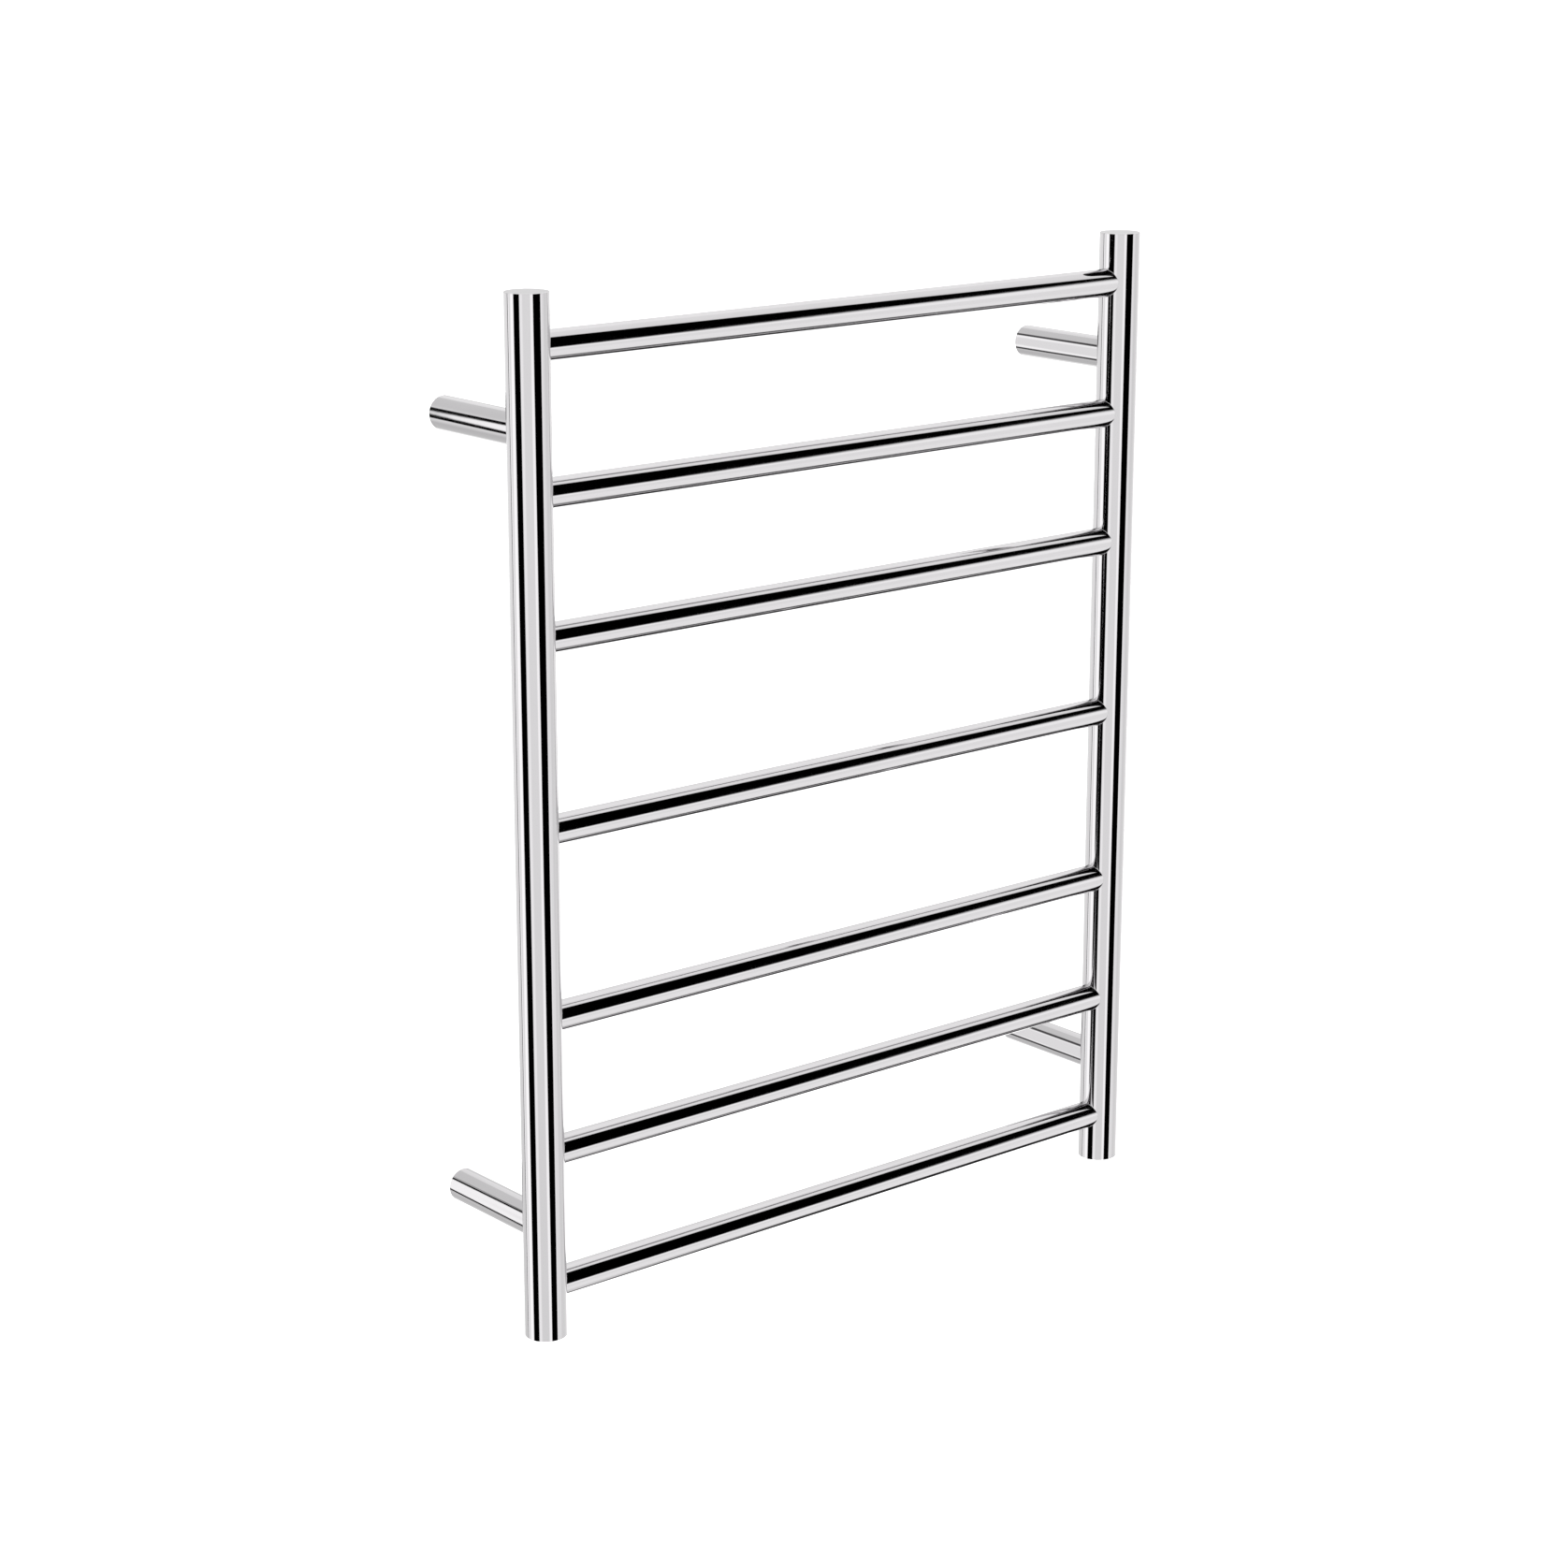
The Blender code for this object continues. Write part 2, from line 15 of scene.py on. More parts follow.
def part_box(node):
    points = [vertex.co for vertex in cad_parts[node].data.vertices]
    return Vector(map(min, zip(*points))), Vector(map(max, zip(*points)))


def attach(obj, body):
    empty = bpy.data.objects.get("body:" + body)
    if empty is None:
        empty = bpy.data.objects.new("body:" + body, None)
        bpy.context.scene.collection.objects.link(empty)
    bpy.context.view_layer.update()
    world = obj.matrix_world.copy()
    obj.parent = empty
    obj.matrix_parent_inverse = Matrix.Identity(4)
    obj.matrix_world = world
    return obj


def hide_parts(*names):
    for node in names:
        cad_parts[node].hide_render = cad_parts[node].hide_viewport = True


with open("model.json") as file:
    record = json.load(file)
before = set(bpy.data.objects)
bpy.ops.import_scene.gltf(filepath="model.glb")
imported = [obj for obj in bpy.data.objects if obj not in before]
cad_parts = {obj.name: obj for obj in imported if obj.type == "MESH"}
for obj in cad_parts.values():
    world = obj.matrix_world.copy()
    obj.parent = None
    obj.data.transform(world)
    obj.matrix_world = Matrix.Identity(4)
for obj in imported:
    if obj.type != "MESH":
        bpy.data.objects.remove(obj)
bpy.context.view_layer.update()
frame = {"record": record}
RECORD = frame["record"]
NODE_BODY = {node: body for body, nodes in RECORD["behaviour"]["bodies"].items() for node in nodes}
NODE_SLOT = {row["node"]: row["material_slot"] for row in RECORD["subparts"]}


# ---- Sizes ---------------------------------------------------------------------------------------


def middle(node):
    """The middle of a node's box."""
    low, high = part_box(node)
    return (low + high) / 2


def half_size(node):
    """Half the size of a node's box, which is the radius of a round node across its axis."""
    low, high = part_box(node)
    return (high - low) / 2


UPRIGHTS = {side: middle(f"{side}_upright") for side in ("left", "right")}
UPRIGHT_RADIUS, _, UPRIGHT_HALF_LENGTH = half_size("left_upright")
BAR_RADIUS = half_size("crossbar_1").z
BAR_HEIGHTS = [middle(f"crossbar_{number}").z for number in range(1, 8)]
STANDOFF_RADIUS = half_size("standoff_upper_left").x
STANDOFF_HEIGHTS = {level: middle(f"standoff_{level}_left").z for level in ("upper", "lower")}
CORNERS = [(level, side) for level in STANDOFF_HEIGHTS for side in UPRIGHTS]
ENTRY_CORNER = ("lower", "left")
FRAME_Y = UPRIGHTS["left"].y

UPRIGHT_BORE = 0.0148
BAR_BORE = 0.0101
STANDOFF_BORE = 0.0112
WELD = 0.0003  # radius of the polished weld where a tube meets an upright
EDGE = 0.0002  # radius of a cut and polished tube end
HAIRLINE = 0.00002  # joint between a cap and its tube
CABLE_HOLE = 0.0070  # radius of the hole that a cable passes through
GRUB_HOLE = 0.0020
GRUB_FROM_WALL = -middle("grub_screw_upper_left").y

# Facets round an upright, the thinner tubes, small turned parts, a cable's hole or sleeve, a screw's hole
# and a cable
ROUND, SMALL_ROUND, FINE_ROUND, HOLE_ROUND, SMALL_HOLE_ROUND, CABLE_ROUND = 128, 96, 64, 48, 32, 24
WELD_STEPS = 5
SHARP = math.radians(40)
UP, TO_ROOM, TO_WALL = (0, 0, 1), (0, -1, 0), (0, 1, 0)


# ---- Meshes --------------------------------------------------------------------------------------


def ring_angles(sides):
    """Equally spaced angles, once round."""
    return [2 * math.pi * i / sides for i in range(sides)]


def arc(centre, radius, start, end, steps):
    """Points in 2D along an arc, from one angle in degrees to another."""
    return [
        (centre[0] + radius * math.cos(a), centre[1] + radius * math.sin(a))
        for a in (math.radians(start + (end - start) * i / steps) for i in range(steps + 1))
    ]


def rounded(outline, radius, steps):
    """A closed 2D outline with its corners rounded. Slight corners, and those on the axis, stay as they are.

    One more point close to each side of a rounded corner keeps its shading off the flat stretches beside it.
    """
    made = []
    count = len(outline)
    slight = math.radians(15)
    for i, corner in enumerate(outline):
        before, here, after = Vector(outline[i - 1]), Vector(corner), Vector(outline[(i + 1) % count])
        inward, outward = before - here, after - here
        turn = math.pi - inward.angle(outward)
        if corner[0] < 1e-9 or turn < slight:
            made.append(corner)
            continue
        reach = min(radius * math.tan(turn / 2), 0.45 * inward.length, 0.45 * outward.length)
        beside = 1.25 * reach
        bend = reach / math.tan(turn / 2)
        centre = here + (inward.normalized() + outward.normalized()).normalized() * bend / math.cos(turn / 2)
        start, end = here + inward.normalized() * reach - centre, here + outward.normalized() * reach - centre
        if 2 * beside < inward.length:
            made.append(tuple(here + inward.normalized() * beside))
        for step in range(steps + 1):
            share = step / steps
            weights = math.sin((1 - share) * turn) / math.sin(turn), math.sin(share * turn) / math.sin(turn)
            made.append(tuple(centre + start * weights[0] + end * weights[1]))
        if 2 * beside < outward.length:
            made.append(tuple(here + outward.normalized() * beside))
    return made


def between(start, end, pieces):
    """The 2D points that cut the straight way from start to end into equal pieces."""
    shares = [k / pieces for k in range(1, pieces)]
    return [tuple(a + (b - a) * share for a, b in zip(start, end)) for share in shares]


def split_long(outline, longest):
    """The outline with its long straight stretches cut into equal shorter ones."""
    made = []
    for here, after in zip(outline, [*outline[1:], outline[0]]):
        pieces = max(1, math.ceil(math.dist(here, after) / longest))
        made += [here, *between(here, after, pieces)]
    return made


def skin(name, loops):
    """A closed mesh over loops of points that follow one another round the piece."""
    points = [point for loop in loops for point in loop]
    size, count = len(loops[0]), len(loops)
    faces = []
    for i in range(count):
        here, after = i * size, (i + 1) % count * size
        for j in range(size):
            beside = (j + 1) % size
            faces.append((here + j, after + j, after + beside, here + beside))
    mesh = bpy.data.meshes.new(name)
    mesh.from_pydata(points, [], faces)
    built = bmesh.new()
    built.from_mesh(mesh)
    bmesh.ops.remove_doubles(built, verts=built.verts, dist=1e-7)
    bmesh.ops.dissolve_degenerate(built, edges=built.edges, dist=1e-7)
    bmesh.ops.recalc_face_normals(built, faces=built.faces)
    built.to_mesh(mesh)
    built.free()
    obj = bpy.data.objects.new(name, mesh)
    bpy.context.scene.collection.objects.link(obj)
    return obj


def axes_frame(origin, direction):
    """A frame at origin whose local +Z points along direction."""
    return Matrix.Translation(Vector(origin)) @ Vector(direction).to_track_quat("Z", "Y").to_matrix().to_4x4()


def lathe(name, outline, sides, origin, direction=UP):
    """An outline of (radius, height) points turned round the line through origin along direction."""
    place = axes_frame(origin, direction)
    loops = [
        [place @ Vector((radius * math.cos(a), radius * math.sin(a), height)) for radius, height in outline]
        for a in ring_angles(sides)
    ]
    return skin(name, loops)


def prism(name, radius, sides, start, end):
    """A cylinder or a regular prism from start to end, used to cut."""
    start, end = Vector(start), Vector(end)
    length = (end - start).length
    return lathe(name, [(0, length), (radius, length), (radius, 0), (0, 0)], sides, start, end - start)


def block(name, low, high):
    """A box between two corners, used to cut or join."""
    size, centre = Vector(high) - Vector(low), (Vector(high) + Vector(low)) / 2
    built = bmesh.new()
    bmesh.ops.create_cube(built, size=1, matrix=Matrix.Translation(centre) @ Matrix.Diagonal((*size, 1)))
    mesh = bpy.data.meshes.new(name)
    built.to_mesh(mesh)
    built.free()
    obj = bpy.data.objects.new(name, mesh)
    bpy.context.scene.collection.objects.link(obj)
    return obj


def filleted(points, radius, steps):
    """The route through points with each corner rounded by an arc, whose steps are for a right angle."""
    points = [Vector(point) for point in points]
    route = [points[0]]
    for before, corner, after in zip(points, points[1:], points[2:]):
        inward, outward = (before - corner).normalized(), (after - corner).normalized()
        turn = math.pi - inward.angle(outward)
        centre = corner + (inward + outward).normalized() * radius / math.cos(turn / 2)
        reach = radius * math.tan(turn / 2)
        start, end = corner + inward * reach - centre, corner + outward * reach - centre
        chords = max(2, math.ceil(steps * turn / math.radians(90)))
        for i in range(chords + 1):
            weights = math.sin((1 - i / chords) * turn), math.sin(i / chords * turn)
            route.append(centre + (start * weights[0] + end * weights[1]) / math.sin(turn))
    return [*route, points[-1]]


def tube_along(name, route, radius, sides):
    """A solid round cable along a route, with its cut ends slightly softened."""
    edge = 0.15 * radius
    before, after = [route[0], *route[:-1]], [*route[1:], route[-1]]
    headings = [(b - a).normalized() for a, b in zip(before, after)]
    side = headings[0].orthogonal().normalized()
    sides_along = []
    for heading in headings:
        side = (side - heading * side.dot(heading)).normalized()
        sides_along.append((side, heading.cross(side)))
    loops = []
    for angle in ring_angles(sides):
        outward = [u * math.cos(angle) + v * math.sin(angle) for u, v in sides_along]
        walls = [point + out * radius for point, out in zip(route, outward)]
        walls[0] += headings[0] * edge
        walls[-1] -= headings[-1] * edge
        first, last = route[0] + outward[0] * (radius - edge), route[-1] + outward[-1] * (radius - edge)
        loops.append([route[0], first, *walls, last, route[-1]])
    return skin(name, loops)


def screw(name, outline, crest, pitch, thread, origin):
    """An upright turned outline with a right-hand thread cut in its crest radius, between two heights."""
    groove = 0.5 * pitch
    steepness = 1.15  # of the groove's flanks: it leaves a narrow flat crest between the turns
    place = axes_frame(origin, UP)
    loops = []
    for angle in ring_angles(FINE_ROUND):
        loop = []
        for radius, height in split_long(outline, pitch / 10):
            wave = (height / pitch - angle / (2 * math.pi)) % 1
            fade = max(0.0, min(1.0, (height - thread[0]) / pitch, (thread[1] - height) / pitch))
            if abs(radius - crest) < 1e-6:
                radius -= groove * fade * max(0.0, 1 - steepness * abs(2 * wave - 1))
            loop.append(place @ Vector((radius * math.cos(angle), radius * math.sin(angle), height)))
        loops.append(loop)
    return skin(name, loops)


def apply_boolean(obj, others, operation="DIFFERENCE"):
    """Cuts the others out of obj, or joins them to it, and removes them."""
    for other in others:
        modifier = obj.modifiers.new(other.name, "BOOLEAN")
        modifier.operation = operation
        modifier.object = other
    mesh = bpy.data.meshes.new_from_object(obj.evaluated_get(bpy.context.evaluated_depsgraph_get()))
    obj.modifiers.clear()
    obj.data = mesh
    for other in others:
        bpy.data.objects.remove(other)
    return obj


def shade(obj):
    """Smooth shading, with sharp edges where the surface turns by more than SHARP."""
    obj.data.shade_smooth()
    obj.data.set_sharp_from_angle(angle=SHARP)


def true_normals(obj, centre, axis, radius):
    """Gives a round wall its exact normals, so that holes cut through it don't bend its reflections."""
    mesh, centre, axis = obj.data, Vector(centre), Vector(axis)
    near = 0.00002
    normals = [normal.vector.copy() for normal in mesh.corner_normals]
    for polygon in mesh.polygons:
        for loop in polygon.loop_indices:
            out = mesh.vertices[mesh.loops[loop].vertex_index].co - centre
            out -= axis * out.dot(axis)
            if abs(out.length - radius) < near and polygon.normal.dot(out.normalized()) > 0.9:
                normals[loop] = out.normalized()
    mesh.normals_split_custom_set(normals)


def saddle_arc(angle, radius, host_radius):
    """How a tube flares onto a round host at one angle round the tube: (distance from host's axis, radius).

    The tube runs out from the host. An angle of 0 points square to both axes, where the host curves away
    most. The flare's middle depends on its tilt and the tilt on its middle, so they are found by turns.
    """
    across = math.cos(angle)
    tilt = 0.0
    for _ in range(12):
        touch = radius + WELD * (1 - math.sin(tilt))
        surface = math.sqrt(host_radius**2 - (touch * across) ** 2)
        tilt = math.atan(touch * across**2 / surface)
    centre = (surface + WELD * math.cos(tilt), radius + WELD)
    sweep = math.pi / 2 - tilt
    turns = [sweep * i / WELD_STEPS for i in range(WELD_STEPS, -1, -1)]
    return [(centre[0] - WELD * math.sin(turn), centre[1] - WELD * math.cos(turn)) for turn in turns]


def saddle_end(angle, radius, bore, host_radius):
    """A tube's welded end at one angle: from the bore, along the host's surface, to the tube's outside."""
    sunk = 0.00003  # the weld's toe dips this far into the host, so that no light shows under it
    inner = math.sqrt(host_radius**2 - (bore * math.cos(angle)) ** 2)
    flare = saddle_arc(angle, radius, host_radius)
    toe = (flare[0][0] - sunk, flare[0][1])
    return [(inner - sunk, bore), toe, *flare]


# ---- Materials -----------------------------------------------------------------------------------


def add(tree, kind, inputs=(), **settings):
    """A node with its settings, and its inputs set to values or linked to sockets."""
    made = tree.nodes.new(kind)
    for key, value in settings.items():
        setattr(made, key, value)
    for key, value in dict(inputs).items():
        if isinstance(value, bpy.types.NodeSocket):
            tree.links.new(value, made.inputs[key])
        else:
            made.inputs[key].default_value = value
    return made


def noise(tree, scale, detail, squeeze=(1, 1, 1)):
    """Noise drawn out along the axes where squeeze is small."""
    coords = add(tree, "ShaderNodeTexCoord").outputs["Object"]
    mapped = add(tree, "ShaderNodeMapping", {"Vector": coords, "Scale": squeeze}).outputs["Vector"]
    inputs = {"Vector": mapped, "Scale": scale, "Detail": detail}
    return add(tree, "ShaderNodeTexNoise", inputs).outputs["Fac"]


def ranged(tree, value, low, high, source=(0.3, 0.7)):
    """The value spread from its source range to low and high."""
    inputs = {"Value": value, "From Min": source[0], "From Max": source[1], "To Min": low, "To Max": high}
    return add(tree, "ShaderNodeMapRange", inputs).outputs["Result"]


def arithmetic(tree, operation, *values):
    """A Math node's result. Its values are numbers or sockets."""
    made = tree.nodes.new("ShaderNodeMath")
    made.operation = operation
    for socket, value in zip(made.inputs, values):
        if isinstance(value, bpy.types.NodeSocket):
            tree.links.new(value, socket)
        else:
            socket.default_value = value
    return made.outputs[0]


def two_colours(tree, share, first, second):
    """A colour that goes from the first to the second as share goes from 0 to 1."""
    ramp = add(tree, "ShaderNodeValToRGB", {"Fac": share})
    ramp.color_ramp.elements[0].color = (*first, 1)
    ramp.color_ramp.elements[1].color = (*second, 1)
    return ramp.outputs["Color"]


def new_material(name, **constants):
    """A Principled material. Its constants, such as metallic, are set on the shader's own sockets."""
    material = bpy.data.materials.new(name)
    material.use_nodes = True
    shader = material.node_tree.nodes["Principled BSDF"]
    for key, value in constants.items():
        shader.inputs[key.replace("_", " ").title().replace("Ior", "IOR")].default_value = value
    return material, material.node_tree, shader


def bump(tree, shader, height, distance):
    """Relief on the surface, whose full height is the distance."""
    made = add(tree, "ShaderNodeBump", {"Height": height, "Distance": distance, "Strength": 1.0})
    tree.links.new(made.outputs["Normal"], shader.inputs["Normal"])


def polished_steel(name, along):
    """Mirror-polished tube: faint buffing lines round it, slight waviness and a thin film of haze."""
    material, tree, shader = new_material(name, metallic=1.0)
    fine = [900.0, 900.0, 900.0]
    fine[along] = 4000.0
    buffing = noise(tree, 1.0, 2.0, fine)
    haze = noise(tree, 22.0, 4.0)
    rough = arithmetic(tree, "ADD", ranged(tree, haze, 0.028, 0.050), ranged(tree, buffing, 0.0, 0.018))
    tree.links.new(rough, shader.inputs["Roughness"])
    tone = two_colours(tree, haze, (0.550, 0.540, 0.550), (0.570, 0.560, 0.570))
    tree.links.new(tone, shader.inputs["Base Color"])
    waviness = noise(tree, 60.0, 1.0)
    height = arithmetic(tree, "ADD", waviness, arithmetic(tree, "MULTIPLY", buffing, 0.005))
    bump(tree, shader, height, 0.00001)
    return material


def machined_steel():
    """Turned stainless: fine tool marks round each bracket's axis, as grooves and as a streaky sheen."""
    material, tree, shader = new_material("machined_steel", metallic=1.0)
    coords = add(tree, "ShaderNodeTexCoord").outputs["Object"]
    parts = add(tree, "ShaderNodeSeparateXYZ", {0: coords}).outputs
    across = arithmetic(tree, "SUBTRACT", arithmetic(tree, "ABSOLUTE", parts["X"]), UPRIGHTS["right"].x)
    along = arithmetic(tree, "SUBTRACT", arithmetic(tree, "ABSOLUTE", parts["Z"]), STANDOFF_HEIGHTS["upper"])
    squares = [arithmetic(tree, "MULTIPLY", value, value) for value in (across, along)]
    radius = arithmetic(tree, "SQRT", arithmetic(tree, "ADD", *squares))
    rings = add(tree, "ShaderNodeCombineXYZ", {"X": radius, "Y": parts["Y"]}).outputs[0]
    inputs = {"Vector": rings, "Scale": 7000.0, "Detail": 2.0}
    marks = add(tree, "ShaderNodeTexNoise", inputs).outputs["Fac"]
    grime = noise(tree, 160.0, 4.0)
    tree.links.new(ranged(tree, marks, 0.24, 0.36), shader.inputs["Roughness"])
    tone = two_colours(tree, grime, (0.50, 0.50, 0.52), (0.66, 0.66, 0.68))
    tree.links.new(tone, shader.inputs["Base Color"])
    bump(tree, shader, marks, 0.000003)
    return material


def screw_steel():
    """Plain stainless fastener: cold-formed skin with a mottled, slightly dull finish."""
    material, tree, shader = new_material("screw_steel", metallic=1.0)
    mottle = noise(tree, 900.0, 4.0)
    tree.links.new(ranged(tree, mottle, 0.24, 0.42), shader.inputs["Roughness"])
    tone = two_colours(tree, mottle, (0.36, 0.36, 0.38), (0.52, 0.52, 0.54))
    tree.links.new(tone, shader.inputs["Base Color"])
    bump(tree, shader, mottle, 0.00001)
    return material


def tinned_copper():
    """Tin plate, satin, with the copper just showing through in places."""
    material, tree, shader = new_material("tinned_copper", metallic=1.0)
    patches = noise(tree, 500.0, 5.0)
    share = ranged(tree, patches, 0.0, 1.0, (0.35, 0.75))
    tone = two_colours(tree, share, (0.72, 0.71, 0.69), (0.66, 0.55, 0.46))
    tree.links.new(tone, shader.inputs["Base Color"])
    tree.links.new(ranged(tree, patches, 0.28, 0.45), shader.inputs["Roughness"])
    bump(tree, shader, patches, 0.00002)
    return material


def soft_material(name, first, second, roughness, grain_scale, grain_depth):
    """A moulded or extruded polymer: a little colour variation, uneven gloss and a fine grain."""
    material, tree, shader = new_material(name, metallic=0.0, ior=1.5)
    cloud = noise(tree, 80.0, 3.0)
    grain = noise(tree, grain_scale, 3.0)
    tree.links.new(two_colours(tree, cloud, first, second), shader.inputs["Base Color"])
    tree.links.new(ranged(tree, grain, roughness - 0.08, roughness + 0.08), shader.inputs["Roughness"])
    bump(tree, shader, grain, grain_depth)
    return material


def earth_insulation():
    """Green wire with a yellow stripe down opposite sides."""
    material = soft_material("earth_green", (0.10, 0.38, 0.05), (0.14, 0.46, 0.08), 0.45, 900.0, 0.00001)
    tree = material.node_tree
    colour = tree.nodes["Principled BSDF"].inputs["Base Color"]
    green = colour.links[0].from_socket
    wire = middle("earth_wire")
    coords = add(tree, "ShaderNodeTexCoord").outputs["Object"]
    centred = add(tree, "ShaderNodeVectorMath", {0: coords, 1: (wire.x, wire.y, 0)}, operation="SUBTRACT")
    parts = add(tree, "ShaderNodeSeparateXYZ", {0: centred.outputs[0]}).outputs
    side = arithmetic(tree, "ABSOLUTE", arithmetic(tree, "ARCTAN2", parts["Y"], parts["X"]))
    off_middle = arithmetic(tree, "ABSOLUTE", arithmetic(tree, "SUBTRACT", side, math.pi / 2))
    stripe = ranged(tree, off_middle, 1.0, 0.0, (0.55, 0.60))
    factor, first, second, result = 0, 6, 7, 2  # a colour Mix node's sockets
    yellow = (0.85, 0.68, 0.03, 1)
    mixed = add(tree, "ShaderNodeMix", {factor: stripe, first: green, second: yellow}, data_type="RGBA")
    tree.links.new(mixed.outputs[result], colour)
    return material


# The record's slots for polymers: first and second colour, roughness, grain scale and grain depth
SOFT_LOOKS = {
    "black_rubber": ((0.012, 0.012, 0.012), (0.030, 0.030, 0.030), 0.62, 1400.0, 0.00003),
    "red_silicone": ((0.36, 0.035, 0.02), (0.48, 0.065, 0.04), 0.48, 1200.0, 0.00001),
    "black_sleeve": ((0.02, 0.02, 0.02), (0.045, 0.045, 0.045), 0.45, 700.0, 0.00004),
    "white_sheath": ((0.74, 0.74, 0.72), (0.82, 0.82, 0.80), 0.42, 1500.0, 0.00001),
}
ALONG_X, ALONG_Y, ALONG_Z = 0, 1, 2
POLISHED = [polished_steel(f"polished_steel_along_{axis}", i) for i, axis in enumerate("xyz")]
MATERIALS = {
    "machined_steel": machined_steel(),
    "screw_steel": screw_steel(),
    "tinned_copper": tinned_copper(),
    **{name: soft_material(name, *looks) for name, looks in SOFT_LOOKS.items()},
    "earth_green": earth_insulation(),
}


# ---- Placing a piece -----------------------------------------------------------------------------


def stand_for(obj, node, material=None):
    """Finishes a piece: it replaces its CAD node, rides on that node's body and takes its slot's material."""
    if obj.type == "MESH" and not obj.data.has_custom_normals:
        shade(obj)
    obj.name = f"{node}_fine"
    obj.data.materials.clear()
    obj.data.materials.append(material or MATERIALS[NODE_SLOT[node]])
    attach(obj, NODE_BODY[node])
    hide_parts(node)
    return obj


# ---- The ladder ----------------------------------------------------------------------------------


def make_upright(side):
    """A long tube with softened ends, bored where the heating cable passes into each bar."""
    centre = UPRIGHTS[side]
    ends = (UPRIGHT_HALF_LENGTH, -UPRIGHT_HALF_LENGTH)
    lip, longest = 0.00002, 0.026
    outline = [
        *arc((UPRIGHT_RADIUS - EDGE, ends[0] - EDGE), EDGE, 90, 0, 5),
        *arc((UPRIGHT_RADIUS - EDGE, ends[1] + EDGE), EDGE, 0, -90, 5),
        *arc((UPRIGHT_BORE + lip, ends[1] + lip), lip, -90, -180, 2),
        *arc((UPRIGHT_BORE + lip, ends[0] - lip), lip, 180, 90, 2),
    ]
    tube = lathe(f"{side}_tube", split_long(outline, longest), ROUND, centre)
    inward = 1 if side == "left" else -1
    reach = UPRIGHT_RADIUS + CABLE_HOLE
    holes = []
    for number, height in enumerate(BAR_HEIGHTS, 1):
        start = Vector((centre.x, centre.y, height))
        end = start + Vector((inward * reach, 0, 0))
        holes.append(prism(f"hole_{number}", CABLE_HOLE, HOLE_ROUND, start, end))
    if side == ENTRY_CORNER[1]:
        start = Vector((centre.x, centre.y, STANDOFF_HEIGHTS[ENTRY_CORNER[0]]))
        end = start + Vector((0, reach, 0))
        holes.append(prism("lead_hole", CABLE_HOLE, HOLE_ROUND, start, end))
    apply_boolean(tube, holes)
    shade(tube)
    true_normals(tube, centre, UP, UPRIGHT_RADIUS)
    return stand_for(tube, f"{side}_upright", POLISHED[ALONG_Z])


def make_crossbar(number):
    """A tube from upright to upright, flaring into a small polished weld at each end."""
    height = BAR_HEIGHTS[number - 1]
    left, right = UPRIGHTS["left"].x, UPRIGHTS["right"].x
    stations = 14
    loops = []
    for angle in ring_angles(SMALL_ROUND):
        end = saddle_end(angle, BAR_RADIUS, BAR_BORE, UPRIGHT_RADIUS)
        start_x, end_x = left + end[-1][0], right - end[-1][0]
        outside = between((start_x, BAR_RADIUS), (end_x, BAR_RADIUS), stations)
        inside = between((right - end[0][0], BAR_BORE), (left + end[0][0], BAR_BORE), stations)
        left_end, right_end = [(left + s, r) for s, r in end], [(right - s, r) for s, r in reversed(end)]
        profile = [*left_end, *outside, *right_end, *inside]
        loops.append([(x, FRAME_Y + r * math.cos(angle), height + r * math.sin(angle)) for x, r in profile])
    tube = skin(f"bar_{number}", loops)
    shade(tube)
    true_normals(tube, (left, FRAME_Y, height), (1, 0, 0), BAR_RADIUS)
    return stand_for(tube, f"crossbar_{number}", POLISHED[ALONG_X])


def make_standoff(level, side):
    """A tube from an upright's back to the wall, open at the wall, with a set-screw hole underneath."""
    centre = Vector((UPRIGHTS[side].x, 0, STANDOFF_HEIGHTS[level]))
    wall_end, lip, stations = -FRAME_Y, 0.00015, 6  # distances along it are from the upright's axis
    outer_edge = arc((wall_end - EDGE, STANDOFF_RADIUS - EDGE), EDGE, 90, 0, 4)
    inner_edge = arc((wall_end - lip, STANDOFF_BORE + lip), lip, 0, -90, 2)
    loops = []
    for angle in ring_angles(SMALL_ROUND):
        end = saddle_end(angle, STANDOFF_RADIUS, STANDOFF_BORE, UPRIGHT_RADIUS)
        profile = [*end, *between(end[-1], outer_edge[0], stations), *outer_edge, *inner_edge]
        across, up = math.cos(angle), math.sin(angle)
        loops.append([(centre.x + r * across, FRAME_Y + s, centre.z + r * up) for s, r in profile])
    tube = skin(f"standoff_{level}_{side}_tube", loops)
    hole_top = Vector((centre.x, -GRUB_FROM_WALL, centre.z - STANDOFF_BORE / 2))
    hole_end = Vector((centre.x, -GRUB_FROM_WALL, centre.z - STANDOFF_RADIUS - GRUB_HOLE))
    apply_boolean(tube, [prism("set_screw_hole", GRUB_HOLE, SMALL_HOLE_ROUND, hole_top, hole_end)])
    shade(tube)
    true_normals(tube, centre, TO_WALL, STANDOFF_RADIUS)
    return stand_for(tube, f"standoff_{level}_{side}", POLISHED[ALONG_Y])


